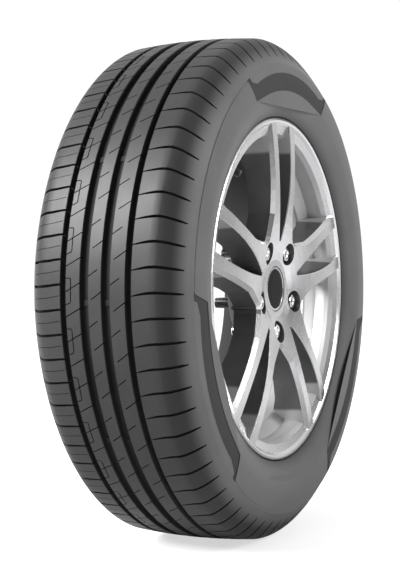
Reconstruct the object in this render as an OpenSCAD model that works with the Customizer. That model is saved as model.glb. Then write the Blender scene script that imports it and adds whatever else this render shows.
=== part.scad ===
// Car tyre on its cast alloy wheel, with centre cap, wheel bolts and snap-in valve.
// The spin axis is Y and the outboard face looks along -Y. The origin is the wheel's
// centre: the axis crossed with the middle plane of the tyre. The wheel stands on -Z.
// Each revolved piece is drawn as (radius, outboard distance) and turned onto the axle.

/* [Tyre] */
// Overall diameter of the tyre
tyre_d = 652; // [640:1:670]
// Width over the sidewalls
section_w = 211; // [204:1:216]
// Height of the widest place, as a radius
widest_r = 262; // [255:1:268]
// Height of the edge where the sidewall turns into the shoulder, as a radius
edge_r = 288.5; // [284:0.5:292]
// Half of the tread between its shoulders
tread_half = 72; // [66:1:76]
// Radius of the tread's crown, seen in section
crown_r = 750; // [500:10:1500]
// Depth of the tread pattern
groove_depth = 7.5; // [5:0.1:9]
// Rubber and cords under the grooves
under_tread = 6; // [4.5:0.1:9]
// Thickness of the sidewall
sidewall_t = 9; // [7:0.1:12]

/* [Tread pattern] */
// Number of pitches of the pattern around the tyre
pitches = 72; // [60:2:80]
// Width of each of the two middle grooves
main_groove_w = 10.6; // [8:0.1:13]
// Width of each of the two outer grooves
edge_groove_w = 7; // [5:0.1:9]
// Distance of the middle grooves from the centre
main_groove_z = 13.7; // [12:0.1:16]
// Distance of the outer grooves from the centre
edge_groove_z = 41.6; // [38:0.1:45]
// Width of the shoulder's cross grooves
cross_w = 3.2; // [2:0.1:5]
// How far the cross grooves run out, measured from the centre plane
cross_end = 95; // [88:1:96]

/* [Rim] */
// Nominal rim diameter, measured at the bead seat
rim_d = 405.6; // [405:0.1:407]
// Rim width between the flanges
rim_w = 165.1; // [158:0.1:172]
// Height of the flange over the bead seat
flange_h = 18.2; // [17:0.1:19]
// Width of the flange's curl
flange_w = 9; // [8:0.1:11]
// Wall thickness of the barrel
rim_t = 5; // [4:0.1:7]
// Depth of the well under the bead seat
well_depth = 17.3; // [17:0.1:20]

/* [Spokes] */
// Number of spoke pairs
pairs = 5; // [5:1:5]
// Front of the face near the hub, measured outboard from the centre plane
face_hub_z = 86.5; // [84:0.1:89]
// Front of the face at its highest, half way out
face_top_z = 94.5; // [90:0.1:97]
// Front of the face at the rim
face_rim_z = 91; // [89:0.1:92]
// Half of a pair over its outer edges, near the hub
pair_half_hub = 35; // [32:0.1:37]
// Half of a pair over its outer edges, at the rim
pair_half_rim = 43.5; // [38:0.1:48]
// Half of the narrow window inside a pair
slot_half = 20.5; // [16:0.1:23]
// Radius at which the narrow window's tip lies
slot_tip_r = 58; // [54:0.5:64]
// Radius at which the wide window's tip lies
window_tip_r = 76; // [75:0.5:84]
// Bevel along a pair's outer edges
bevel = 5; // [3:0.1:6]
// Bevel along a pair's inner edges
slot_bevel = 1; // [0.5:0.1:2]
// Slope of the spokes' side walls, in millimetres over their depth
side_draft = 4.5; // [2:0.1:6]

/* [Hub] */
// Distance of the mounting face outboard of the centre plane
offset_et = 45; // [40:0.5:50]
// Diameter of the mounting pad
pad_d = 148; // [142:1:150]
// Centre bore on the car's hub
bore_d = 57.1; // [54:0.1:60]
// Depth of the centre bore
bore_depth = 20; // [16:0.5:21]
// Pitch circle of the wheel bolts
pcd = 112; // [108:0.1:114.3]
// Number of wheel bolts
bolts = 5; // [5:1:5]
// Diameter of a bolt's pocket in the face
pocket_d = 29; // [27:0.1:31]
// Bolt thread diameter
bolt_d = 14; // [12:0.1:14]
// How far a bolt reaches into the car's hub
bolt_reach = 26; // [22:0.5:30]
// Bolt hole diameter
bolt_hole_d = 15.4; // [14.8:0.1:16]
// Hexagon of the bolt's head, across its flats
hex_af = 17; // [16:0.1:19]
// Depth of the bolt's head below the face round its pocket
head_sink = 3; // [2:0.1:8]
// Metal under the bolt's conical seat
seat_metal = 11; // [9:0.1:14]

/* [Centre cap] */
// Diameter of the cap
cap_d = 59; // [57:0.1:62]
// Diameter of the dark disc in the cap
disc_d = 51; // [48:0.1:53]
// Thickness of the disc
disc_t = 1.6; // [1:0.1:2]
// Width of the hole that the cap clips into
cap_hole_d = 53; // [51:0.1:54]

/* [Valve] */
// Angle of the valve, counter-clockwise from +X, seen from outboard
valve_angle = 126; // [120:1:132]
// Diameter of the valve hole
valve_hole_d = 11.3; // [11:0.1:11.8]
// Length of the valve outside the rim
valve_out = 26; // [22:0.5:30]

/* [Hidden] */
$fn = 96;

// Clearance of the bead on its seat and of parts that seat on each other
seat_gap = 0.2;
// How far a cutter runs past the surface that it cuts
over = 1;

pair_step = 360 / pairs;
pair_first = 90;
bolt_step = 360 / bolts;
bolt_first = pair_first - pair_step / 2;

// Tyre section
tyre_r = tyre_d / 2;
wide_half = section_w / 2;
bead_r = rim_d / 2 + seat_gap;
bead_z = rim_w / 2 - seat_gap;
bead_w = 18;
bead_t = 16;
flange_r = rim_d / 2 + flange_h;
lip_z = rim_w / 2 + flange_w;

function crown_at(z) = tyre_r - crown_r + sqrt(crown_r * crown_r - z * z);
function curve(a, b, c, d, t) =
    pow(1 - t, 3) * a + 3 * t * pow(1 - t, 2) * b + 3 * t * t * (1 - t) * c + pow(t, 3) * d;

// Outer side of one half of the tyre, from the tread's edge to the rim flange
shoulder = [crown_at(tread_half), tread_half];
widest = [widest_r, wide_half];
edge = [edge_r, wide_half - 2.4];
foot = [flange_r + 2.2, lip_z + 0.6];
upper_side = concat(
    [for (i = [0:6]) curve(shoulder, shoulder + [-4, 12], edge + [13.5, -9.8], edge, i / 7)],
    [for (i = [0:3]) curve(edge, edge + [-7, 1.6], widest + [10, 0], widest, i / 4)]
);
lower_side = [for (i = [0:6]) curve(widest, widest + [-17, 0], foot + [9, 6], foot, i / 6)];

// Outer distance from the centre plane at a radius of the sidewall
function side_z(r) = lookup(r, concat(upper_side, lower_side));
bead_side = [
    [flange_r + 1, lip_z - 2.2],
    [flange_r - 2.6, bead_z + 3],
    [flange_r - 7.5, bead_z],
    [bead_r + 1.5, bead_z],
    [bead_r, bead_z - 1.5],
    [bead_r - 1.5, bead_z - bead_w + 1],
    [bead_r - 0.5, bead_z - bead_w],
];

// Inner side of one half, from the bead's toe to the middle of the liner
liner_r = tyre_r - groove_depth - under_tread;
function liner_at(r, extra) = [r, side_z(r) - sidewall_t - extra];
liner_side = [
    [bead_r + 5, bead_z - bead_w],
    [bead_r + 15, bead_z - bead_t + 5],
    liner_at(flange_r + 12, 3),
    liner_at(widest_r - 4, 0),
    liner_at(edge_r - 10, 0.5),
    liner_at(edge_r + 6, 5),
    liner_at(liner_r - 8, 10.5),
    [liner_r - 2.5, tread_half - 20],
];

half_section = concat(upper_side, lower_side, bead_side, liner_side);
crown_steps = 8;
tread_line = [for (i = [-crown_steps + 1:crown_steps - 1])
    let (z = tread_half * i / crown_steps) [crown_at(z), z]];

function mirrored(points) = [for (i = [len(points) - 1:-1:0]) [points[i][0], -points[i][1]]];

// Rim section
seat_r = rim_d / 2;
well_r = seat_r - well_depth;
hump_z = rim_w / 2 - 22;
well_out_z = hump_z - 14.5;
well_in_z = well_out_z - 26;
drop = 1.5;
rim_outer = [
    [flange_r - 3, lip_z + 1],
    [flange_r - 0.8, lip_z + 0.2],
    [flange_r, lip_z - 1.5],
    [flange_r - 0.4, lip_z - 4],
    [flange_r - 2.8, rim_w / 2 + 2],
    [flange_r - 7, rim_w / 2],
    [seat_r + 1.5, rim_w / 2],
    [seat_r, rim_w / 2 - 1.5],
    [seat_r - drop, hump_z + 3.5],
    [seat_r - 0.4, hump_z],
    [seat_r - drop, hump_z - 4],
];
rim_inner = [
    [flange_r - 5.5, lip_z],
    [flange_r - 9, lip_z - 3],
    [seat_r - 1.5, rim_w / 2 + 3.6],
    [seat_r - 4.6, rim_w / 2 - 2.5],
    [seat_r - 5.6, hump_z + 13],
    [seat_r - 6, hump_z],
];
rim_section = concat(
    rim_outer,
    [[well_r, well_out_z], [well_r, well_in_z], [seat_r - 7, -2], [seat_r - 3.5, -hump_z + 4]],
    mirrored([for (i = [0:9]) rim_outer[i]]),
    [for (p = rim_inner) [p[0], -p[1]]],
    [[seat_r - 7 - rim_t, -4], [well_r - rim_t, well_in_z - 2],
     [well_r - rim_t, well_out_z + 2], [well_r - rim_t + 1.5, well_out_z + 4.5]],
    [for (i = [len(rim_inner) - 1:-1:0]) rim_inner[i]]
);

// Front of the spokes: a turned face that rises from the hub and falls to the rim
face_hub_r = 60;
face_top_r = 148;
face_rim_r = flange_r - 5;
function face_z(r) =
    r < face_top_r
        ? face_top_z - (face_top_z - face_hub_z) * pow((face_top_r - r) / (face_top_r - face_hub_r), 2)
        : face_top_z - (face_top_z - face_rim_z) * pow((r - face_top_r) / (face_rim_r - face_top_r), 2);

pad_r = pad_d / 2;
hub_front = face_hub_z - 7;
wall_r = seat_r - 3.3;
disc_section = concat(
    [[0, offset_et], [pad_r, offset_et], [pad_r + 5, offset_et + 9], [100, 58], [130, 59], [160, 55],
     [well_r - 2.5, well_out_z + 1], [wall_r - 14, well_out_z + 4], [wall_r, hump_z - 1],
     [wall_r + 0.3, rim_w / 2 - 1.5], [seat_r + 0.7, rim_w / 2 + 2], [flange_r - 8, rim_w / 2 + 2.5],
     [face_rim_r, lip_z - 4]],
    [for (i = [12:-1:0]) let (r = face_hub_r + (face_rim_r - face_hub_r) * i / 12) [r, face_z(r)]],
    [[48, face_hub_z - 2.6], [38, hub_front + 1], [0, hub_front + 1]]
);

// Outlines of the windows, in the plane of the wheel
edge_start = 97;
function outer_edge(u) =
    pair_half_hub
    + (pair_half_rim - pair_half_hub) * pow((u - edge_start) / (face_rim_r - edge_start), 1.2);

// Half of the wide window about its own middle line, from its tip outwards
tip_round = 8;
edge_steps = 9;
wide_half_line = concat(
    [for (a = [80, 40]) [window_tip_r + tip_round - tip_round * sin(a), tip_round * cos(a)]],
    [for (i = [0:edge_steps])
        let (u = edge_start + (face_rim_r + 14 - edge_start) * i / edge_steps,
             v = outer_edge(u),
             h = pair_step / 2)
        [u * cos(h) + v * sin(h), u * sin(h) - v * cos(h)]]
);

// Half of the narrow window about the pair's middle line
slot_end_r = 190;
slot_steps = 11;
function slot_edge(s) = (slot_half - 2.5) * (1 - s * s) + 2.5 * sqrt(1 - s * s);
slot_half_line = concat(
    [for (i = [1:slot_steps])
        let (s = 1 - pow(i / slot_steps, 1.4))
        [slot_end_r - (slot_end_r - slot_tip_r) * s, slot_edge(s)]],
    [[face_rim_r + 14, slot_half]]
);

function full_outline(half) = concat(half, [for (i = [len(half) - 1:-1:0]) [half[i][0], -half[i][1]]]);

// Outward normal of a closed outline at point i
function side_normal(pts, i) =
    let (n = len(pts), a = pts[(i + n - 1) % n], b = pts[(i + 1) % n], d = b - a)
    [d[1], -d[0]] / norm(d);

// A cutter that opens a window: bevelled at the face, drafted below it
module window_cutter(half, edge_bevel, floor_z) {
    pts = full_outline(half);
    n = len(pts);
    turn = -1;
    shift = [edge_bevel + over, edge_bevel + over, 0, -side_draft];
    levels = [
        for (k = [0:3]) [
            for (i = [0:n - 1])
                let (p = pts[i],
                     room = abs(p[1]) * 0.6 + 0.2,
                     q = p + turn * max(shift[k], -room) * side_normal(pts, i),
                     top = face_z(norm(p)))
                [q[0], q[1], k == 0 ? face_top_z + 12 : k == 1 ? top + over : k == 2 ? top - edge_bevel
                    : floor_z(p[0])]
        ]
    ];
    body = [for (k = [0:3]) each levels[k]];
    top_face = [for (i = [0:n - 1]) i];
    floor_faces = [for (i = [0:n / 2 - 2])
        let (a = 3 * n + i, b = 4 * n - 1 - i)
        each [[a, b, a + 1], [a + 1, b, b - 1]]];
    sides = [for (k = [0:2]) for (i = [0:n - 1])
        let (j = (i + 1) % n, a = k * n + i, b = k * n + j)
        each [[a, a + n, b + n], [a, b + n, b]]];
    polyhedron(points = body, faces = concat([top_face], floor_faces, sides), convexity = 8);
}

// Cap, bolts and valve
cap_seat_z = hub_front - 3;
collar_z = cap_seat_z - 5.5;
leg_z = collar_z - 4.5;
clear_h = face_top_z;
bolt_r = pcd / 2;
seat_z = offset_et + seat_metal;
cone_h = (pocket_d - bolt_hole_d) / 2 * 0.9;
head_z = face_z(bolt_r) - head_sink;

// Slope between the outer bead seat and the well, which carries the valve
slope_out = [[seat_r - drop, hump_z - 4], [well_r, well_out_z]];
slope_in = [[seat_r - 6, hump_z], [well_r - rim_t + 1.5, well_out_z + 4.5]];
slope_run = slope_out[1] - slope_out[0];
valve_tilt = atan2(-slope_run[1], -slope_run[0]);
slope_normal = [slope_run[1], -slope_run[0]] / norm(slope_run);
slope_t = ((slope_in[0] - slope_out[0]) * slope_normal + (slope_in[1] - slope_out[1]) * slope_normal) / 2;
valve_at = (slope_out[0] + slope_out[1] + slope_in[0] + slope_in[1]) / 4;

// Turns a piece drawn around Z onto the wheel's axle
module on_axle() {
    rotate([90, 0, 0]) children();
}

// Places a piece at the valve, with its Z along the valve's stem
module at_valve() {
    rotate([0, 0, valve_angle])
        translate([valve_at[0], 0, valve_at[1]])
            rotate([0, -valve_tilt, 0]) children();
}

// Grooves that run around the tread
module ring_grooves() {
    for (side = [-1, 1]) {
        groove_ring(side * main_groove_z, main_groove_w);
        groove_ring(side * edge_groove_z, edge_groove_w);
    }
}

// One groove of the tread's section, wider at its mouth
module groove_ring(z, w) {
    r = crown_at(z);
    polygon([
        [r + over, z - w / 2 - 0.2],
        [r - groove_depth + 1, z - w / 2 + 1],
        [r - groove_depth, z - w / 2 + 2],
        [r - groove_depth, z + w / 2 - 2],
        [r - groove_depth + 1, z + w / 2 - 1],
        [r + over, z + w / 2 + 0.2],
    ]);
}

// Radius of the tyre's outside at a distance from the centre plane, out to the sidewall
function side_r(z) =
    z <= tread_half ? crown_at(z) : lookup(z, [for (p = upper_side) [p[1], p[0]]]);

// A plate that cuts one groove across the tread. Its two ends are given as distance from
// the centre plane and place along the tread, and it cuts to a depth under the surface.
module cross_cut(from, to, w, depth, steps) {
    middle = (from + to) / 2;
    run = to - from;
    half = norm(run) / 2;
    reach = [for (i = [0:steps]) half * (2 * i / steps - 1)];
    outline = concat(
        [for (s = reach) [side_r(abs(middle[0] + s * run[0] / norm(run))) - depth, s]],
        [[tyre_r + over, half], [tyre_r + over, -half]]
    );
    translate([0, middle[1], middle[0]])
        rotate([atan2(-run[1], run[0]), 0, 0])
            translate([0, w / 2, 0])
                rotate([90, 0, 0])
                    linear_extrude(w) polygon(outline);
}

// Grooves across the shoulders, once in each pitch
module shoulder_cuts() {
    depth = groove_depth - 2;
    for (i = [0:pitches - 1])
        rotate([0, 0, i * 360 / pitches]) {
            cross_cut([edge_groove_z + 14.5, 1], [cross_end, 3.2], cross_w, depth, 6);
            cross_cut([edge_groove_z, 5.2], [edge_groove_z + 16, 2.6], cross_w / 2, depth, 2);
            cross_cut([-edge_groove_z, -8.2], [-cross_end, -5.2], cross_w, depth, 6);
        }
}

module tyre() {
    color([0.11, 0.11, 0.115])
        on_axle()
            difference() {
                rotate_extrude()
                    difference() {
                        polygon(concat(tread_line, half_section, mirrored(half_section)));
                        ring_grooves();
                    }
                shoulder_cuts();
            }
}

module alloy_wheel() {
    color([0.80, 0.81, 0.83])
        on_axle()
            difference() {
                union() {
                    rotate_extrude() polygon(rim_section);
                    difference() {
                        rotate_extrude() polygon(disc_section);
                        for (k = [0:pairs - 1]) {
                            rotate([0, 0, pair_first + k * pair_step])
                                window_cutter(slot_half_line, slot_bevel,
                                    function (u) lookup(u, [[slot_tip_r, 70], [76, 62], [82, 30]]));
                            rotate([0, 0, bolt_first + k * pair_step])
                                window_cutter(wide_half_line, bevel, function (u) 30);
                        }
                    }
                }
                hub_cuts();
                at_valve() cylinder(d = valve_hole_d, h = 40, center = true);
            }
}

// Centre bore, cap recess and bolt pockets
module hub_cuts() {
    translate([0, 0, offset_et - over]) cylinder(d = bore_d, h = bore_depth + over);
    translate([0, 0, offset_et]) cylinder(d = cap_hole_d, h = clear_h);
    translate([0, 0, offset_et + bore_depth - over])
        cylinder(d = cap_hole_d + 2.6, h = collar_z - offset_et - bore_depth + over);
    translate([0, 0, cap_seat_z]) cylinder(d = cap_d + 2 * seat_gap, h = clear_h);
    for (k = [0:bolts - 1])
        rotate([0, 0, bolt_first + k * bolt_step])
            translate([bolt_r, 0, 0]) {
                translate([0, 0, offset_et - over]) cylinder(d = bolt_hole_d, h = clear_h);
                translate([0, 0, seat_z]) cylinder(d1 = bolt_hole_d, d2 = pocket_d - 2, h = cone_h);
                translate([0, 0, seat_z + cone_h]) cylinder(d = pocket_d, h = clear_h);
            }
}

module centre_cap() {
    color([0.75, 0.76, 0.78])
        on_axle() {
            difference() {
                rotate_extrude()
                    polygon([
                        [0, cap_seat_z], [cap_d / 2, cap_seat_z], [cap_d / 2, hub_front - 0.6],
                        [cap_d / 2 - 1.2, hub_front + 0.6], [disc_d / 2 + 0.8, hub_front + 0.9],
                        [disc_d / 2 + seat_gap, hub_front + 0.3],
                        [disc_d / 2 + seat_gap, hub_front - disc_t + 0.6],
                        [0, hub_front - disc_t + 0.6],
                    ]);
            }
            difference() {
                rotate_extrude()
                    polygon([
                        [cap_hole_d / 2 - 2.4, leg_z], [cap_hole_d / 2 - 0.6, leg_z],
                        [cap_hole_d / 2 + 0.7, leg_z + 2], [cap_hole_d / 2 - 0.4, leg_z + 4],
                        [cap_hole_d / 2 - 0.4, cap_seat_z + 0.5],
                        [cap_hole_d / 2 - 2.4, cap_seat_z + 0.5],
                    ]);
                for (a = [0:60:120])
                    rotate([0, 0, a]) translate([-cap_d, -4, leg_z - over])
                        cube([2 * cap_d, 8, cap_seat_z - leg_z + over]);
            }
        }
}

module cap_disc() {
    base = hub_front - disc_t + 0.6;
    color([0.10, 0.10, 0.11])
        on_axle()
            rotate_extrude()
                polygon([
                    [0, base], [disc_d / 2, base], [disc_d / 2, hub_front],
                    [disc_d / 2 - 0.6, hub_front + 0.5], [disc_d / 3, hub_front + 1.2],
                    [0, hub_front + 1.5],
                ]);
}

module wheel_bolt(k) {
    shank_end = offset_et - bolt_reach;
    neck_r = bolt_d / 2 - 0.5;
    flat_r = hex_af / 2 / cos(30);
    cone_top = hex_af / 2 + 2;
    cone_z = seat_z + (cone_top - bolt_hole_d / 2) * cone_h / ((pocket_d - 2 - bolt_hole_d) / 2);
    color([0.70, 0.71, 0.73])
        on_axle()
            rotate([0, 0, bolt_first + k * bolt_step])
                translate([bolt_r, 0, 0]) {
                    rotate_extrude()
                        polygon([
                            [0, shank_end], [bolt_d / 2 - 1.5, shank_end], [bolt_d / 2, shank_end + 1.5],
                            [bolt_d / 2, offset_et - 1.5], [neck_r, offset_et - 1],
                            [neck_r, seat_z - 1 + seat_gap], [bolt_hole_d / 2 - 0.3, seat_z + seat_gap],
                            [cone_top - 0.3, cone_z + seat_gap], [cone_top - 0.3, cone_z + 2.2],
                            [0, cone_z + 2.2],
                        ]);
                    intersection() {
                        translate([0, 0, cone_z + 2])
                            cylinder(r = flat_r, h = head_z - cone_z - 2, $fn = 6);
                        rotate_extrude()
                            polygon([
                                [0, cone_z], [flat_r + 1, cone_z], [flat_r + 1, head_z - 1.6],
                                [flat_r - 1.6, head_z], [flat_r - 3.4, head_z],
                                [flat_r - 4.4, head_z - 1.4],
                                [0, head_z - 1.4],
                            ]);
                    }
                }
}

module valve_body() {
    color([0.07, 0.07, 0.07])
        on_axle()
            at_valve()
                rotate_extrude()
                    polygon([
                        [2.7, -11], [7, -11], [9.2, -9], [9.2, -5],
                        [valve_hole_d / 2 - 0.1, -slope_t / 2 - 0.4],
                        [valve_hole_d / 2 - 0.1, slope_t / 2 + 0.4], [7.2, slope_t / 2 + 1.2],
                        [7.2, slope_t / 2 + 3.5], [5.6, slope_t / 2 + 8], [4.3, valve_out - 9],
                        [2.7, valve_out - 9],
                    ]);
}

module valve_tube() {
    color([0.72, 0.62, 0.35])
        on_axle()
            at_valve()
                rotate_extrude()
                    polygon([
                        [1.75, -9], [2.6, -9], [2.6, valve_out - 9], [3.85, valve_out - 9],
                        [3.85, valve_out - 0.4], [3.4, valve_out], [1.75, valve_out],
                    ]);
}

module valve_core() {
    color([0.80, 0.78, 0.70])
        on_axle()
            at_valve()
                rotate_extrude()
                    polygon([
                        [0, valve_out - 22], [1.2, valve_out - 22], [1.65, valve_out - 19],
                        [1.65, valve_out - 2], [0.7, valve_out - 2], [0.7, valve_out - 0.6],
                        [0, valve_out - 0.6],
                    ]);
}

module valve_cap() {
    color([0.09, 0.09, 0.09])
        on_axle()
            at_valve()
                difference() {
                    rotate_extrude()
                        polygon([
                            [4.0, valve_out - 7.6], [5, valve_out - 7.6], [5, valve_out + 1],
                            [4, valve_out + 2.4], [0, valve_out + 2.6], [0, valve_out + 0.3],
                            [4.0, valve_out + 0.3],
                        ]);
                    for (a = [0:30:330])
                        rotate([0, 0, a]) translate([5.1, 0, valve_out - 7.8]) cylinder(r = 0.5, h = 6.5);
                }
}

tyre();
alloy_wheel();
centre_cap();
cap_disc();
wheel_bolt(0);  // wheel_bolt_1
wheel_bolt(1);  // wheel_bolt_2
wheel_bolt(2);  // wheel_bolt_3
wheel_bolt(3);  // wheel_bolt_4
wheel_bolt(4);  // wheel_bolt_5
valve_body();
valve_tube();
valve_core();
valve_cap();
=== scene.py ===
"""Looks for a car tyre on its alloy wheel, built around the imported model.

The spin axis is Y and the outboard face looks along -Y. The tyre is drawn in millimetres
and becomes metres when its mesh is made; looks, floor, lights and camera are in metres.
"""

import math

import bmesh
import bpy
import numpy as np
from mathutils import Matrix, Vector
from mathutils.geometry import delaunay_2d_cdt


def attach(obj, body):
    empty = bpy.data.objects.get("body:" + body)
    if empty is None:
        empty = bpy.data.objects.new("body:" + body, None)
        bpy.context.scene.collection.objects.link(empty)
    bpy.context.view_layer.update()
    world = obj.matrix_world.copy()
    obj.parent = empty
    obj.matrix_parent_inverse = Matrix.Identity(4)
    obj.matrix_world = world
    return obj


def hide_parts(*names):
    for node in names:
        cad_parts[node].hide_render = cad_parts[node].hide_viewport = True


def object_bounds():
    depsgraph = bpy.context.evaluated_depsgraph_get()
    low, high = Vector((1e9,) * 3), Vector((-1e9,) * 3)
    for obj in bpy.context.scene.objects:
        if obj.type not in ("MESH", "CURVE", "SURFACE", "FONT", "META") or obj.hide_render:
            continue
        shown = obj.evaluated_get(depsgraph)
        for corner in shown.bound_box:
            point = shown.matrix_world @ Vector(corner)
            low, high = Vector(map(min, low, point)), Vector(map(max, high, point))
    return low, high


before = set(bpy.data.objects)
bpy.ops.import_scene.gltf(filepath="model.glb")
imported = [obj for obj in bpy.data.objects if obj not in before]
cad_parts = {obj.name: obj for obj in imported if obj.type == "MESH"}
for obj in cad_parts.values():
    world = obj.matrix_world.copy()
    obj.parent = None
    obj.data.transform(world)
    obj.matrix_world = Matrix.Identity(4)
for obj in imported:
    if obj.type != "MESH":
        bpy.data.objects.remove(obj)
cad_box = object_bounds()

MM = 0.001
BODY = "root"

# Camera, fitted to the photograph
CAMERA_AZIMUTH = -64.64
CAMERA_ELEVATION = 0.59
CAMERA_ROLL = -0.15
CAMERA_DISTANCE = 1.6928
CAMERA_TARGET = (0.0, 0.0084, 0.0)
FOCAL_PX = 1267.8
PRINCIPAL_PX = (214.2, 288.7)
IMAGE_PX = (400, 564)
SENSOR_MM = 36.0

# Strength of the studio's surround, behind the camera and in front of it
DIM_SIDE = 0.10
BRIGHT_SIDE = 1.05
BRIGHT_TOWARD = (0.62, 0.62, 0.48)
BRIGHT_SPAN = (0.0, 0.6)

# Floor: distances from its middle over which its glow changes, and the glow at each end
FLOOR_HALF = 9.0
FLOOR_SPAN = (0.4, 3.0)
FLOOR_GLOW = (0.05, 0.95)
FLOOR_GLOW_SEEN = (0.72, 0.1)

# Wheel's looks: the spans over which one finish gives way to the next. The face is where the
# surface leans outboard and lies far enough out, and the barrel starts at a radius.
FACE_LEAN = (0.42, 0.55)
FACE_OUT = (0.072, 0.076)
BARREL_R = (0.176, 0.182)
# Inboard of the next span the barrel gets painted shade: near black, rougher and not metallic.
BARREL_SHADE_OUT = (0.018, 0.030)
CAST_ROUGH = 0.42
CAST_METALLIC = 0.55
TURNED_SMOOTHER = 0.18
BARREL_ROUGHER = 0.45
UNEVEN_ROUGH = 0.06
WHEEL_GLOSS = 0.25

# Scales of the noise in the looks, per metre, and how high the finest of it stands
RUBBER_CLOUD = 14.0
RUBBER_FINE = 900.0
RUBBER_GRAIN = 0.00012
METAL_CLOUD = 22.0
METAL_FINE = 1400.0
METAL_GRAIN = 0.00003
TURNING_FINE = 2600.0
TURNING_GRAIN = 0.00002
FLOOR_CLOUD = 1.2

# Tyre's looks: distance from the centre plane over which the tread's dark rubber gives way to the
# sidewall's lighter grey, which is painted light, and how much of that painted light its inboard
# side has
FLANK_OUT = (0.086, 0.101)
INBOARD_PAINTED_LIGHT = 0.4

# Tyre section
TYRE_R = 326.0
CROWN_R = 750.0
TREAD_HALF = 72.0
WIDE_HALF = 105.5
WIDEST_R = 262.0
EDGE_R = 288.5
SIDEWALL_T = 9.0
FLANGE_R = 221.0
LIP_Z = 91.55
BEAD_R = 203.0
BEAD_Z = 82.35
BEAD_W = 18.0
UNDERTREAD_T = 13.5
LINER_R = TYRE_R - UNDERTREAD_T
PATTERN_HALF = 97.0
SHOULDER_STEPS = 42
BULGE_STEPS = 18
LOWER_STEPS = 20

# Tread pattern: each ring groove has its distance from the centre plane and its width
PITCHES = 72
MAIN_GROOVE = (13.7, 10.6)
EDGE_GROOVE = (41.6, 7.0)
GROOVE_DEPTH = 7.5
GROOVE_CHAMFER = 0.7
CROSS_DEPTH = 5.5
SLIT_DEPTH = 4.5
FINE_W = 1.2
SCORE_DEPTH = 2.0
SCORE_W = 0.7
BRACKET_DEPTH = 2.5
SECTORS = PITCHES // 2
SECTOR_DEG = 360.0 / SECTORS
SIDE_STEPS = 8
PITCH = 2 * math.pi * TYRE_R / PITCHES

# Wear bars, in the main grooves of one sector in three: how far back from the sector's end
# they lie, the gap at each side, and their height over the groove's floor. Where shapes
# overlap the highest rank wins, and a cut's rank is its depth.
BAR_EVERY = 3
BAR_SPAN = (-16.0, -9.0)
BAR_SIDE_GAP = 0.4
BAR_H = 1.6
BAR_RANK = 9.0

# The skin: its materials by index, the distance within which its corners are merged, how far
# below the crown a face gets the grooves' painted shade, and the angle from which an edge is sharp
# The third material is painted shade: near-black rubber on faces sunk into the tread and the
# sidewall.
RUBBER, BANNER, SHADED_GROOVE = 0, 1, 2
WELD = 0.00003
GROOVE_SHADE_DROP = 0.6
SHARP_DEG = 32.0


def crown_r(z):
    """Radius of the tread's crown at a distance from the centre plane."""
    return TYRE_R - CROWN_R + math.sqrt(CROWN_R * CROWN_R - z * z)


def bezier(a, b, c, d, t):
    """A point on the cubic curve from a to d."""
    s = 1.0 - t
    return tuple(
        s**3 * a[i] + 3 * t * s * s * b[i] + 3 * t * t * s * c[i] + t**3 * d[i]
        for i in range(2)
    )


SHOULDER = (crown_r(TREAD_HALF), TREAD_HALF)
EDGE = (EDGE_R, WIDE_HALF - 2.4)
WIDEST = (WIDEST_R, WIDE_HALF)
FOOT = (FLANGE_R + 2.2, LIP_Z + 0.6)


def shoulder_side(t):
    """Section from the tread's edge to the sidewall's upper edge."""
    return bezier(
        SHOULDER,
        (SHOULDER[0] - 4, SHOULDER[1] + 12),
        (EDGE[0] + 13.5, EDGE[1] - 9.8),
        EDGE,
        t,
    )


def bulge_side(t):
    """Section from the sidewall's upper edge to its widest place."""
    return bezier(EDGE, (EDGE[0] - 7, EDGE[1] + 1.6), (WIDEST[0] + 10, WIDEST[1]), WIDEST, t)


def lower_side(t):
    """Section from the widest place to the rim flange."""
    return bezier(WIDEST, (WIDEST[0] - 17, WIDEST[1]), (FOOT[0] + 9, FOOT[1] + 6), FOOT, t)


UPPER = [shoulder_side(i / SHOULDER_STEPS) for i in range(SHOULDER_STEPS)]
UPPER += [bulge_side(i / BULGE_STEPS) for i in range(BULGE_STEPS + 1)]
LOWER = [lower_side(i / LOWER_STEPS) for i in range(1, LOWER_STEPS + 1)]


def side_r(z):
    """Radius of the tyre's outside at a distance from the centre plane, grooves left out."""
    z = abs(z)
    if z <= TREAD_HALF:
        return crown_r(z)
    return float(np.interp(z, [p[1] for p in UPPER], [p[0] for p in UPPER]))


def grey(v):
    """A barely cool grey."""
    return (v, v, v * 1.01, 1.0)


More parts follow.
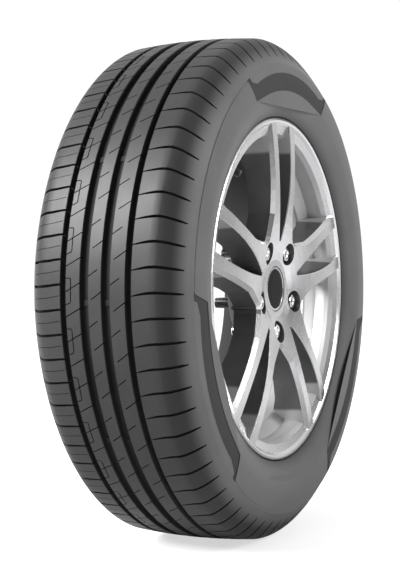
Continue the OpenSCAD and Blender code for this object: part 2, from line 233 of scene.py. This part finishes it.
class Look:
    """A node tree, with short ways to add the nodes that the looks are made of."""

    def __init__(self, tree):
        self.nodes = tree.nodes
        self.links = tree.links

    def put(self, socket, value):
        """Sets a socket to a plain value, or links another node's output to it."""
        if isinstance(value, bpy.types.NodeSocket):
            self.links.new(value, socket)
        else:
            socket.default_value = value

    def shade(self, inputs):
        """Sets inputs of the tree's surface shader."""
        for name, value in inputs.items():
            self.put(self.nodes["Principled BSDF"].inputs[name], value)

    def coordinate(self, kind):
        """The point that is shaded, in one of the renderer's coordinates."""
        return self.nodes.new("ShaderNodeTexCoord").outputs[kind]

    def split(self, vector):
        """The three numbers of a vector."""
        node = self.nodes.new("ShaderNodeSeparateXYZ")
        self.put(node.inputs[0], vector)
        return node.outputs

    def camera_ray(self):
        """1 for what the camera sees itself, and 0 for the light that falls on other things."""
        return self.nodes.new("ShaderNodeLightPath").outputs["Is Camera Ray"]

    def noise(self, scale, detail=4.0, rough=0.6):
        """Noise in the object's own space."""
        node = self.nodes.new("ShaderNodeTexNoise")
        node.inputs["Scale"].default_value = scale
        node.inputs["Detail"].default_value = detail
        node.inputs["Roughness"].default_value = rough
        self.put(node.inputs["Vector"], self.coordinate("Object"))
        return node.outputs["Fac"]

    def mottle(self, cloud, tones):
        """Greys from the first tone to the second, after a cloud of noise."""
        node = self.nodes.new("ShaderNodeValToRGB")
        for element, position, tone in zip(node.color_ramp.elements, (0.3, 0.7), tones):
            element.position = position
            element.color = grey(tone)
        self.put(node.inputs["Fac"], cloud)
        return node.outputs["Color"]

    def calc(self, operation, a, b=0.0):
        """Result of a math node."""
        node = self.nodes.new("ShaderNodeMath")
        node.operation = operation
        self.put(node.inputs[0], a)
        self.put(node.inputs[1], b)
        return node.outputs[0]

    def rise(self, value, span, ends=(0.0, 1.0)):
        """Goes smoothly from one end to the other as the value crosses the span."""
        node = self.nodes.new("ShaderNodeMapRange")
        node.interpolation_type = "SMOOTHSTEP"
        for name, number in zip(("From Min", "From Max", "To Min", "To Max"), (*span, *ends)):
            node.inputs[name].default_value = number
        self.put(node.inputs["Value"], value)
        return node.outputs["Result"]

    def blend(self, factor, a, b):
        """Colour a where the factor is 0, and b where it is 1."""
        node = self.nodes.new("ShaderNodeMix")
        node.data_type = "RGBA"
        for index, value in ((0, factor), (6, a), (7, b)):
            self.put(node.inputs[index], value)
        return node.outputs[2]

    def bump(self, height, strength, distance):
        """The surface's normal, roughened by a height."""
        node = self.nodes.new("ShaderNodeBump")
        self.put(node.inputs["Strength"], strength)
        node.inputs["Distance"].default_value = distance
        self.put(node.inputs["Height"], height)
        return node.outputs["Normal"]


def new_material(name):
    """A new node material, and the look of its tree."""
    mat = bpy.data.materials.new(name)
    mat.use_nodes = True
    return mat, Look(mat.node_tree)


def uncoloured_rubber(name, rough, gloss, grain):
    """Rubber's fine grain and uneven sheen, and the cloud of noise that its colour follows."""
    mat, look = new_material(name)
    cloud = look.noise(RUBBER_CLOUD)
    look.shade({
        "Roughness": look.mottle(cloud, rough),
        "Specular IOR Level": gloss,
        "Normal": look.bump(look.noise(RUBBER_FINE, detail=2.0), 0.35, grain),
    })
    return mat, look, cloud


def rubber(name, tones, rough, gloss=0.5, grain=RUBBER_GRAIN):
    """Vulcanised rubber or hard black plastic, faintly mottled."""
    mat, look, cloud = uncoloured_rubber(name, rough, gloss, grain)
    look.shade({"Base Color": look.mottle(cloud, tones)})
    return mat


def tyre_rubber():
    """The tyre's rubber: dark on the tread, and painted light on the sidewalls, a lighter grey in
    full outboard and in part inboard.
    """
    mat, look, cloud = uncoloured_rubber("tyre_rubber_black", (0.40, 0.49), 0.16, RUBBER_GRAIN)
    tread = look.mottle(cloud, (0.015, 0.019))
    # Painted light: the sidewalls' grey is far lighter than the tread's, though both are the same
    # rubber.
    side = look.mottle(cloud, (0.088, 0.104))
    inward = look.split(look.coordinate("Object"))[1]
    # The outboard sidewall gets all of the painted light and the inboard one only a part of it, so
    # that side stays darker.
    outboard_painted_light = look.rise(look.calc("MULTIPLY", inward, -1.0), FLANK_OUT)
    inboard_painted_light = look.rise(inward, FLANK_OUT, (0.0, INBOARD_PAINTED_LIGHT))
    flank = look.calc("ADD", outboard_painted_light, inboard_painted_light)
    look.shade({"Base Color": look.blend(flank, tread, side)})
    return mat


def metal(name, tones, rough):
    """Metal or metallic paint with a fine, uneven finish."""
    mat, look = new_material(name)
    cloud = look.noise(METAL_CLOUD)
    look.shade({
        "Base Color": look.mottle(cloud, tones),
        "Roughness": look.mottle(cloud, rough),
        "Metallic": 1.0,
        "Normal": look.bump(look.noise(METAL_FINE, detail=2.0), 0.2, METAL_GRAIN),
    })
    return mat


def wheel_finish():
    """Cast aluminium: bright turned face, grey flanks, silver lip side, and painted shade on the
    barrel's inboard part.
    """
    mat, look = new_material("wheel_aluminium")
    x, y, z = look.split(look.coordinate("Object"))
    normal_y = look.split(look.coordinate("Normal"))[1]
    squares = [look.calc("MULTIPLY", across, across) for across in (x, z)]
    radius = look.calc("SQRT", look.calc("ADD", *squares))
    outward = look.calc("MULTIPLY", y, -1.0)
    lean = look.calc("MULTIPLY", normal_y, -1.0)

    face = look.calc("MULTIPLY", look.rise(lean, FACE_LEAN), look.rise(outward, FACE_OUT))
    barrel = look.rise(radius, BARREL_R)
    # Painted shade: the barrel's inboard part is made near black and not metallic, standing in for
    # the shade deep inside the wheel.
    barrel_painted_shade = look.calc("MULTIPLY", barrel, look.rise(outward, BARREL_SHADE_OUT, (1.0, 0.0)))

    cloud = look.noise(METAL_CLOUD)
    flank = look.mottle(cloud, (0.09, 0.12))
    side = look.mottle(cloud, (0.36, 0.41))
    bright = look.mottle(cloud, (0.57, 0.62))
    colour = look.blend(barrel, flank, side)
    colour = look.blend(face, colour, bright)
    colour = look.blend(barrel_painted_shade, colour, grey(0.014))

    rough = look.calc("SUBTRACT", CAST_ROUGH, look.calc("MULTIPLY", face, TURNED_SMOOTHER))
    rough = look.calc("ADD", rough, look.calc("MULTIPLY", barrel_painted_shade, BARREL_ROUGHER))
    rough = look.calc("ADD", rough, look.calc("MULTIPLY", cloud, UNEVEN_ROUGH))
    shine = look.calc("MAXIMUM", face, CAST_METALLIC)
    outside_painted_shade = look.calc("SUBTRACT", 1.0, barrel_painted_shade)

    turning = look.nodes.new("ShaderNodeTexNoise")
    turning.noise_dimensions = "1D"
    turning.inputs["Scale"].default_value = TURNING_FINE
    look.put(turning.inputs["W"], radius)
    on_face = look.calc("MULTIPLY", face, 0.12)
    look.shade({
        "Base Color": colour,
        "Roughness": rough,
        "Specular IOR Level": WHEEL_GLOSS,
        "Metallic": look.calc("MULTIPLY", shine, outside_painted_shade),
        "Normal": look.bump(turning.outputs["Fac"], on_face, TURNING_GRAIN),
    })
    return mat


def dress(node, mat):
    """Gives a CAD node its material."""
    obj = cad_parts[node]
    obj.data.materials.clear()
    obj.data.materials.append(mat)


def add_object(name, bm):
    """Turns a bmesh into an object in the scene."""
    mesh = bpy.data.meshes.new(name)
    bm.to_mesh(mesh)
    bm.free()
    obj = bpy.data.objects.new(name, mesh)
    bpy.context.scene.collection.objects.link(obj)
    return obj


def on_axle(r, y_out, angle):
    """A point at a radius, an outboard distance and an angle (degrees) about the axle."""
    a = math.radians(angle)
    return Vector((r * math.cos(a) * MM, -y_out * MM, r * math.sin(a) * MM))


def oriented(outline):
    """The outline, counter-clockwise."""
    turned = outline[1:] + outline[:1]
    area = sum(p[0] * q[1] - q[0] * p[1] for p, q in zip(outline, turned))
    return outline if area > 0 else outline[::-1]


def strip(points, width):
    """Outline of a bent slit along points; its width may change from point to point."""
    n = len(points)
    widths = width if isinstance(width, list) else [width] * n
    left, right = [], []
    for i, (u, v) in enumerate(points):
        u0, v0 = points[max(i - 1, 0)]
        u1, v1 = points[min(i + 1, n - 1)]
        length = math.hypot(u1 - u0, v1 - v0)
        nu, nv = (v0 - v1) / length, (u1 - u0) / length
        left.append((u + nu * widths[i] / 2, v + nv * widths[i] / 2))
        right.append((u - nu * widths[i] / 2, v - nv * widths[i] / 2))
    return left + right[::-1]


def plan(u_lines, v_lines, shapes):
    """A flat sheet cut up by lines and shapes: its points, and (triangle, shape or None) pairs."""
    points, edges, faces = [], [], []

    def add_face(outline):
        start = len(points)
        points.extend(Vector(p) for p in oriented(outline))
        count = len(outline)
        edges.extend((start + i, start + (i + 1) % count) for i in range(count))
        faces.append(list(range(start, start + count)))

    u0, u1, v0, v1 = u_lines[0], u_lines[-1], v_lines[0], v_lines[-1]
    add_face([(u0, v0), (u1, v0), (u1, v1), (u0, v1)])
    for shape in shapes:
        add_face(shape["outline"])
    for u in u_lines:
        start = len(points)
        points.extend(Vector((u, v)) for v in v_lines)
        edges.extend((start + i, start + i + 1) for i in range(len(v_lines) - 1))
    cut = delaunay_2d_cdt(points, edges, faces, 0, 1e-5, True)
    kept = []
    for tri, origin in zip(cut[2], cut[5]):
        if 0 in origin:
            over = [shapes[f - 1] for f in origin if f > 0]
            kept.append((tri, max(over, key=lambda s: s["rank"]) if over else None))
    return cut[0], kept


def relief(flat, height, place):
    """Points, and (corners, shape) faces, of a sheet whose shapes lie at their own height."""
    verts, kept = flat
    points, faces, made, sides = [], [], {}, {}

    def corner(i, shape):
        h = height(verts[i], shape)
        key = (i, round(h, 4))
        if key not in made:
            made[key] = len(points)
            points.append(place(verts[i], h))
        return made[key]

    for tri, shape in kept:
        corners = [corner(i, shape) for i in tri]
        faces.append((corners, shape))
        for k in range(3):
            i, j = tri[k], tri[(k + 1) % 3]
            sides.setdefault((min(i, j), max(i, j)), []).append((i, j, shape))
    levels = {}
    for i, h in made:
        levels.setdefault(i, []).append(h)

    def column(i, start, end):
        """Corners over one point, from one shape's height to another's."""
        h0, h1 = (round(height(verts[i], s), 4) for s in (start, end))
        between = [h for h in levels[i] if min(h0, h1) <= h <= max(h0, h1)]
        return [made[i, h] for h in sorted(between, reverse=h0 > h1)]

    for uses in sides.values():
        if len(uses) == 2 and uses[0][2] is not uses[1][2]:
            (i, j, shape), (_, _, other) = uses
            wall = column(i, shape, other) + column(j, other, shape)
            corners = [c for k, c in enumerate(wall) if c != wall[k - 1]]
            if len(corners) >= 3:
                faces.append((corners[::-1], shape or other))
    return points, faces


# Tread: a sector of two pitches, cut out of a flat sheet and wrapped round the crown.
# Each cut has its start, a line of (distance outboard, place round the tread), a width or a
# width at each point, and a depth.
PITCH_CUTS = (
    (
        0.0,
        [
            (96.5, -3.4), (91, -2.7), (82, -1.6), (73, -1.1),
            (64, -1.5), (56, -2.8), (48, -4.4), (42, -5.6),
        ],
        [1.4, 3.2, 3.4, 3.4, 3.2, 2.4, 1.5, 1.5],
        CROSS_DEPTH,
    ),
    (
        0.0,
        [(-42, 8.2), (-50, 7.9), (-62, 6.4), (-76, 5.2), (-88, 5.4), (-95, 7.0)],
        [2.4, 2.8, 3.2, 3.3, 3.2, 1.6],
        CROSS_DEPTH,
    ),
    (PITCH / 2, [(-47, 9.5), (-62, 7.0), (-84, 5.2)], SCORE_W, SCORE_DEPTH),
    (0.0, [(-18.5, 10.1), (-29, 4.6), (-39, -0.8)], FINE_W, SLIT_DEPTH),
)
SECTOR_CUTS = (
    (0.0, [(38.5, -11.2), (31, -16.4), (23.5, -21.4)], FINE_W, SLIT_DEPTH),
    (0.0, [(31, 15.0), (25, 10.9), (18, 5.8)], FINE_W, SLIT_DEPTH),
    (0.0, [(8.6, 0.2), (2, -4.6), (-4, -8.7)], FINE_W, SLIT_DEPTH),
    (0.0, [(3, 24.4), (-2, 21.1), (-9, 16.4)], FINE_W, SLIT_DEPTH),
    (
        0.0,
        [
            (-39, 15.2), (-31.8, 15.0), (-31.0, 14.2), (-31.0, 1),
            (-31.0, -11.4), (-31.6, -12.4), (-39, -15.4),
        ],
        FINE_W,
        BRACKET_DEPTH,
    ),
)
GROOVE_SECTION = (
    (0.0, GROOVE_CHAMFER),
    (0.9, GROOVE_DEPTH - 1.2),
    (2.0, GROOVE_DEPTH),
)
SHOULDER_LINES = 9
RIB_LINES = {-64.0, -56.0, -28.0, 0.0, 28.0, 56.0, 64.0}


def groove_lines():
    """Distances at which the section of the ring grooves bends, with the radius at each."""
    lines = {}
    for middle, width in (MAIN_GROOVE, EDGE_GROOVE):
        for z0 in (-middle, middle):
            r, half = crown_r(z0), width / 2
            for side in (-1, 1):
                mouth = z0 + side * (half + GROOVE_CHAMFER)
                lines[round(mouth, 3)] = crown_r(mouth)
                for inset, drop in GROOVE_SECTION:
                    lines[round(z0 + side * (half - inset), 3)] = r - drop
    return lines


def shoulder_lines(start, end):
    """Evenly spaced distances from the centre plane, over a shoulder."""
    return {round(float(z), 3) for z in np.linspace(start, end, SHOULDER_LINES)}


GROOVES = groove_lines()
Z_LINES = sorted(
    set(GROOVES)
    | shoulder_lines(-PATTERN_HALF, -TREAD_HALF)
    | shoulder_lines(TREAD_HALF, PATTERN_HALF)
    | RIB_LINES
)
R_LINES = [GROOVES.get(z, side_r(z)) for z in Z_LINES]


def tread_shapes(with_bar):
    """Cuts of one sector, and its wear bars. u runs outboard and v round the tread."""
    shapes = []
    for pitches, cuts in ((1, PITCH_CUTS), (2, SECTOR_CUTS)):
        for k in range(-1, 3):
            for start, line, width, depth in cuts:
                v0 = pitches * k * PITCH + start
                outline = strip([(u, v0 + v) for u, v in line], width)
                shapes.append({"outline": outline, "depth": depth, "rank": depth})
    if with_bar:
        v0, v1 = (2 * PITCH + v for v in BAR_SPAN)
        for middle in (-MAIN_GROOVE[0], MAIN_GROOVE[0]):
            half = MAIN_GROOVE[1] / 2 - BAR_SIDE_GAP
            u0, u1 = middle - half, middle + half
            outline = [(u0, v0), (u1, v0), (u1, v1), (u0, v1)]
            shapes.append({"outline": outline, "depth": None, "rank": BAR_RANK})
    return shapes


def tread_height(p, shape):
    """Radius of the tread at a point of the sheet."""
    r = float(np.interp(p[0], Z_LINES, R_LINES))
    if shape is None:
        return r
    if shape["depth"] is None:
        return max(r, crown_r(abs(p[0])) - GROOVE_DEPTH + BAR_H)
    return min(r, side_r(p[0]) - shape["depth"])


def tread_place(p, r):
    """Radius, outboard distance and angle of a point of the tread's sheet."""
    return r, p[0], 180.0 - p[1] / (2 * PITCH) * SECTOR_DEG


def tread_sector(with_bar):
    """One sector of the tread, with its cuts sunk into it."""
    v_lines = [2 * PITCH * i / SIDE_STEPS for i in range(SIDE_STEPS + 1)]
    return relief(plan(Z_LINES, v_lines, tread_shapes(with_bar)), tread_height, tread_place)


# Outboard sidewall: a band with bare banners and thin rings, in steps along its section.
# The banners' places are degrees about the axle, and DEG_MM is the length of one degree there.
BANNERS = ((66.0, 118.0), (182.0, 229.5), (298.0, 350.0))
BANNER_R = (257.0, 281.5)
BANNER_DEPTH = 0.7
BANNER_LEAN = 1.6
TIP_HALF = 0.8
RING_R = 287.0
RING_HALF = 0.7
RING_DEPTH = 0.9
BAND_R = (250.0, 292.0)
DEG_MM = 4.7
ROWS = [(side_r(PATTERN_HALF), PATTERN_HALF)]
ROWS += [p for p in UPPER[::2] if p[1] > PATTERN_HALF + 0.4] + LOWER
ROW_S = [0.0]
for before, after in zip(ROWS, ROWS[1:]):
    ROW_S.append(ROW_S[-1] + math.dist(before, after))
BAND = [i for i, p in enumerate(ROWS) if BAND_R[0] < p[0] < BAND_R[1]]


def along(r):
    """Distance along the sidewall's section, from its radius."""
    return float(np.interp(r, [p[0] for p in ROWS[::-1]], ROW_S[::-1]))


def section_at(s):
    """Radius and outboard distance, from the distance along the sidewall's section."""
    return tuple(float(np.interp(s, ROW_S, [p[i] for p in ROWS])) for i in (0, 1))


def side_shapes():
    """Recessed banners with pointed ends, and the ring line that joins one to the next."""
    shapes = []
    inner, outer, ring = along(BANNER_R[0]), along(BANNER_R[1]), along(RING_R)
    lean = BANNER_LEAN * DEG_MM
    for start, end in BANNERS:
        a, b = start * DEG_MM, end * DEG_MM
        outline = [
            (ring - TIP_HALF, a - lean),
            (ring + TIP_HALF, a + 0.8),
            (outer, a + 2.2),
            (outer, b - 2.2),
            (ring + TIP_HALF, b - 0.8),
            (ring - TIP_HALF, b + lean),
            (inner, b - 3),
            (inner, a + 3),
        ]
        shapes.append({"outline": outline, "depth": BANNER_DEPTH, "rank": 2, "banner": True})
    for (_, end), (start, _) in zip(BANNERS, BANNERS[1:]):
        a, b = end * DEG_MM, start * DEG_MM
        s0, s1 = ring - RING_HALF, ring + RING_HALF
        outline = [(s0, a), (s1, a), (s1, b), (s0, b)]
        shapes.append({"outline": outline, "depth": RING_DEPTH, "rank": 1, "banner": False})
    return shapes


def side_height(_, shape):
    """Depth of the sidewall at a point of the sheet."""
    return 0.0 if shape is None else shape["depth"]


def side_place(p, depth):
    """Radius, outboard distance and angle of a point of the sidewall's sheet."""
    r, z = section_at(p[0])
    r0, z0 = section_at(p[0] - 1)
    r1, z1 = section_at(p[0] + 1)
    length = math.hypot(r1 - r0, z1 - z0)
    return r + depth * (z1 - z0) / length, z - depth * (r0 - r1) / length, p[1] / DEG_MM


def side_band():
    """The band of the outboard sidewall that has the banners and the ring line."""
    v_lines = [DEG_MM * SECTOR_DEG / SIDE_STEPS * i for i in range(SECTORS * SIDE_STEPS + 1)]
    return relief(plan([ROW_S[i] for i in BAND], v_lines, side_shapes()), side_height, side_place)


def add_faces(bm, mesh, turn=0.0):
    """Adds (points, faces), turned about the axle; faces keep their shape's material, and cuts,
    wear bars and ring lines get the grooves' painted shade.
    """
    verts = [bm.verts.new(on_axle(r, z, angle + turn)) for r, z, angle in mesh[0]]
    for corners, shape in mesh[1]:
        face = bm.faces.new([verts[c] for c in corners])
        if shape is not None:
            face.material_index = BANNER if shape.get("banner") else SHADED_GROOVE


def revolve(bm, section, steps):
    """Adds a surface of revolution of (radius, outboard distance) points."""
    rings = []
    for k in range(steps):
        rings.append([bm.verts.new(on_axle(r, z, 360.0 * k / steps)) for r, z in section])
    for a, b in zip(rings, rings[1:] + rings[:1]):
        for i in range(len(section) - 1):
            bm.faces.new((a[i], a[i + 1], b[i + 1], b[i]))


def liner_at(r, extra):
    """A point of the liner, inside the sidewall at a radius."""
    line = (UPPER + LOWER)[::-1]
    return r, float(np.interp(r, [q[0] for q in line], [q[1] for q in line])) - SIDEWALL_T - extra


# From the flange round the bead and up inside the tyre, to the middle of the tread
INSIDE = [
    (FLANGE_R + 1.0, LIP_Z - 2.2),
    (FLANGE_R - 2.6, BEAD_Z + 3),
    (FLANGE_R - 7.5, BEAD_Z),
    (BEAD_R + 1.5, BEAD_Z),
    (BEAD_R, BEAD_Z - 1.5),
    (BEAD_R - 1.5, BEAD_Z - BEAD_W + 1),
    (BEAD_R - 0.5, BEAD_Z - BEAD_W),
    (BEAD_R + 5, BEAD_Z - BEAD_W),
    (BEAD_R + 15, BEAD_Z - 11),
    liner_at(FLANGE_R + 12, 3),
    liner_at(WIDEST_R - 4, 0),
    liner_at(EDGE_R - 10, 0.5),
    liner_at(EDGE_R + 6, 5),
    liner_at(LINER_R - 8, 10.5),
    (LINER_R - 2.5, TREAD_HALF - 20),
]


def make_tyre():
    """The tyre as one closed skin: tread, sidewalls, beads and liner."""
    bm = bmesh.new()
    plain, barred = tread_sector(False), tread_sector(True)
    for k in range(SECTORS):
        add_faces(bm, barred if (k + 1) % BAR_EVERY == 0 else plain, -k * SECTOR_DEG)
    steps = SECTORS * SIDE_STEPS
    add_faces(bm, side_band())
    revolve(bm, ROWS[: BAND[0] + 1], steps)
    mirrored = [(r, -z) for r, z in (ROWS + INSIDE)[::-1]]
    revolve(bm, ROWS[BAND[-1]:] + INSIDE + mirrored, steps)
    bmesh.ops.remove_doubles(bm, verts=bm.verts, dist=WELD)
    bmesh.ops.recalc_face_normals(bm, faces=bm.faces)
    # Faces sunk below the crown get the grooves' painted shade.
    for face in bm.faces:
        centre = face.calc_center_median()
        r, z = math.hypot(*centre.xz) / MM, abs(centre.y) / MM
        sunk_in_shade = z < TREAD_HALF and r < crown_r(z) - GROOVE_SHADE_DROP
        if face.material_index == RUBBER and sunk_in_shade:
            face.material_index = SHADED_GROOVE
        face.smooth = True
    obj = add_object("tyre_skin", bm)
    obj.data.set_sharp_from_angle(angle=math.radians(SHARP_DEG))
    obj.data.materials.append(tyre_rubber())
    obj.data.materials.append(rubber("banner_rubber", (0.018, 0.024), (0.60, 0.70), gloss=0.25))
    # Painted shade: near-black, dull rubber for the grooves, cuts, wear bars and ring line.
    obj.data.materials.append(rubber("groove_painted_shade", (0.008, 0.012), (0.70, 0.80), gloss=0.15))
    return obj


def dress_wheel():
    """Finish of the wheel and its small pieces."""
    dress("alloy_wheel", wheel_finish())
    dress("centre_cap", metal("cap_ring_silver", (0.50, 0.54), (0.25, 0.32)))
    disc = rubber("cap_gloss_black", (0.004, 0.006), (0.50, 0.58), gloss=0.1, grain=0.00002)
    dress("cap_disc", disc)
    bolt = metal("bolt_chrome", (0.78, 0.82), (0.12, 0.20))
    for k in range(1, 6):
        dress(f"wheel_bolt_{k}", bolt)
    dress("valve_body", rubber("valve_rubber_black", (0.012, 0.02), (0.5, 0.6)))
    dress("valve_tube", metal("valve_brass_tone", (0.5, 0.55), (0.3, 0.35)))
    dress("valve_core", metal("valve_core_tone", (0.6, 0.65), (0.3, 0.35)))
    dress("valve_cap", rubber("valve_cap_black", (0.015, 0.022), (0.45, 0.55)))


def make_floor():
    """Pale floor. It looks brighter to the camera than the light it gives to the rubber."""
    bm = bmesh.new()
    bmesh.ops.create_grid(bm, x_segments=1, y_segments=1, size=FLOOR_HALF)
    floor = add_object("floor", bm)
    floor.location = (0, 0, cad_box[0][2])
    mat, look = new_material("floor_white")
    cloud = look.noise(FLOOR_CLOUD)
    reach = look.nodes.new("ShaderNodeVectorMath")
    reach.operation = "LENGTH"
    look.put(reach.inputs[0], look.coordinate("Object"))
    glow = look.rise(reach.outputs["Value"], FLOOR_SPAN, FLOOR_GLOW)
    lift = look.rise(reach.outputs["Value"], FLOOR_SPAN, FLOOR_GLOW_SEEN)
    seen = look.calc("MULTIPLY", look.camera_ray(), lift)
    look.shade({
        "Base Color": look.mottle(cloud, (0.44, 0.46)),
        "Roughness": 0.9,
        "Emission Color": look.mottle(cloud, (0.80, 0.82)),
        "Emission Strength": look.calc("ADD", glow, seen),
    })
    floor.data.materials.append(mat)


def make_surround():
    """White studio surround: dim behind the camera, and as bright as its background ahead."""
    world = bpy.data.worlds.new("studio")
    world.use_nodes = True
    look = Look(world.node_tree)
    toward = look.nodes.new("ShaderNodeVectorMath")
    toward.operation = "DOT_PRODUCT"
    toward.inputs[1].default_value = BRIGHT_TOWARD
    look.put(toward.inputs[0], look.coordinate("Generated"))
    glow = look.rise(toward.outputs["Value"], BRIGHT_SPAN, (DIM_SIDE, BRIGHT_SIDE))
    seen = look.calc("MULTIPLY", look.camera_ray(), BRIGHT_SIDE)
    background = look.nodes["Background"]
    look.put(background.inputs["Color"], (1, 1, 1, 1))
    look.put(background.inputs["Strength"], look.calc("MAXIMUM", glow, seen))
    bpy.context.scene.world = world
    bpy.context.scene.view_settings.view_transform = "Standard"


def add_light(name, location, target, size, power):
    """A soft rectangular light that looks at a target."""
    light = bpy.data.lights.new(name, "AREA")
    light.shape = "RECTANGLE"
    light.size, light.size_y = size
    light.energy = power
    obj = bpy.data.objects.new(name, light)
    bpy.context.scene.collection.objects.link(obj)
    obj.location = location
    toward = Vector(target) - Vector(location)
    obj.rotation_euler = toward.to_track_quat("-Z", "Y").to_euler()


def make_camera():
    """The camera, at the photograph's angle."""
    az, el, roll = (math.radians(a) for a in (CAMERA_AZIMUTH, CAMERA_ELEVATION, CAMERA_ROLL))
    back = Vector((math.sin(az) * math.cos(el), -math.cos(az) * math.cos(el), math.sin(el)))
    right = (-back).cross(Vector((0, 0, 1))).normalized()
    up = right.cross(-back)
    turned_right = math.cos(roll) * right + math.sin(roll) * up
    turned_up = -math.sin(roll) * right + math.cos(roll) * up
    cam = bpy.data.cameras.new("camera")
    cam.sensor_width = SENSOR_MM
    cam.lens = FOCAL_PX * SENSOR_MM / IMAGE_PX[1]
    cam.shift_x = (IMAGE_PX[0] / 2 - PRINCIPAL_PX[0]) / IMAGE_PX[1]
    cam.shift_y = (PRINCIPAL_PX[1] - IMAGE_PX[1] / 2) / IMAGE_PX[1]
    obj = bpy.data.objects.new("camera", cam)
    bpy.context.scene.collection.objects.link(obj)
    place = Vector(CAMERA_TARGET) + back * CAMERA_DISTANCE
    turn = Matrix((turned_right, turned_up, back)).transposed().to_4x4()
    obj.matrix_world = Matrix.Translation(place) @ turn
    bpy.context.scene.camera = obj


tyre = make_tyre()
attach(tyre, BODY)
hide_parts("tyre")
dress_wheel()
make_floor()
make_surround()
add_light("tread_light", (-2.1, 1.35, 1.5), (-0.2, 0, 0.1), size=(1.5, 1.5), power=350)
add_light("face_light", (0.6, -2.4, 1.1), (0, 0, 0), size=(1.2, 1.4), power=66)
make_camera()
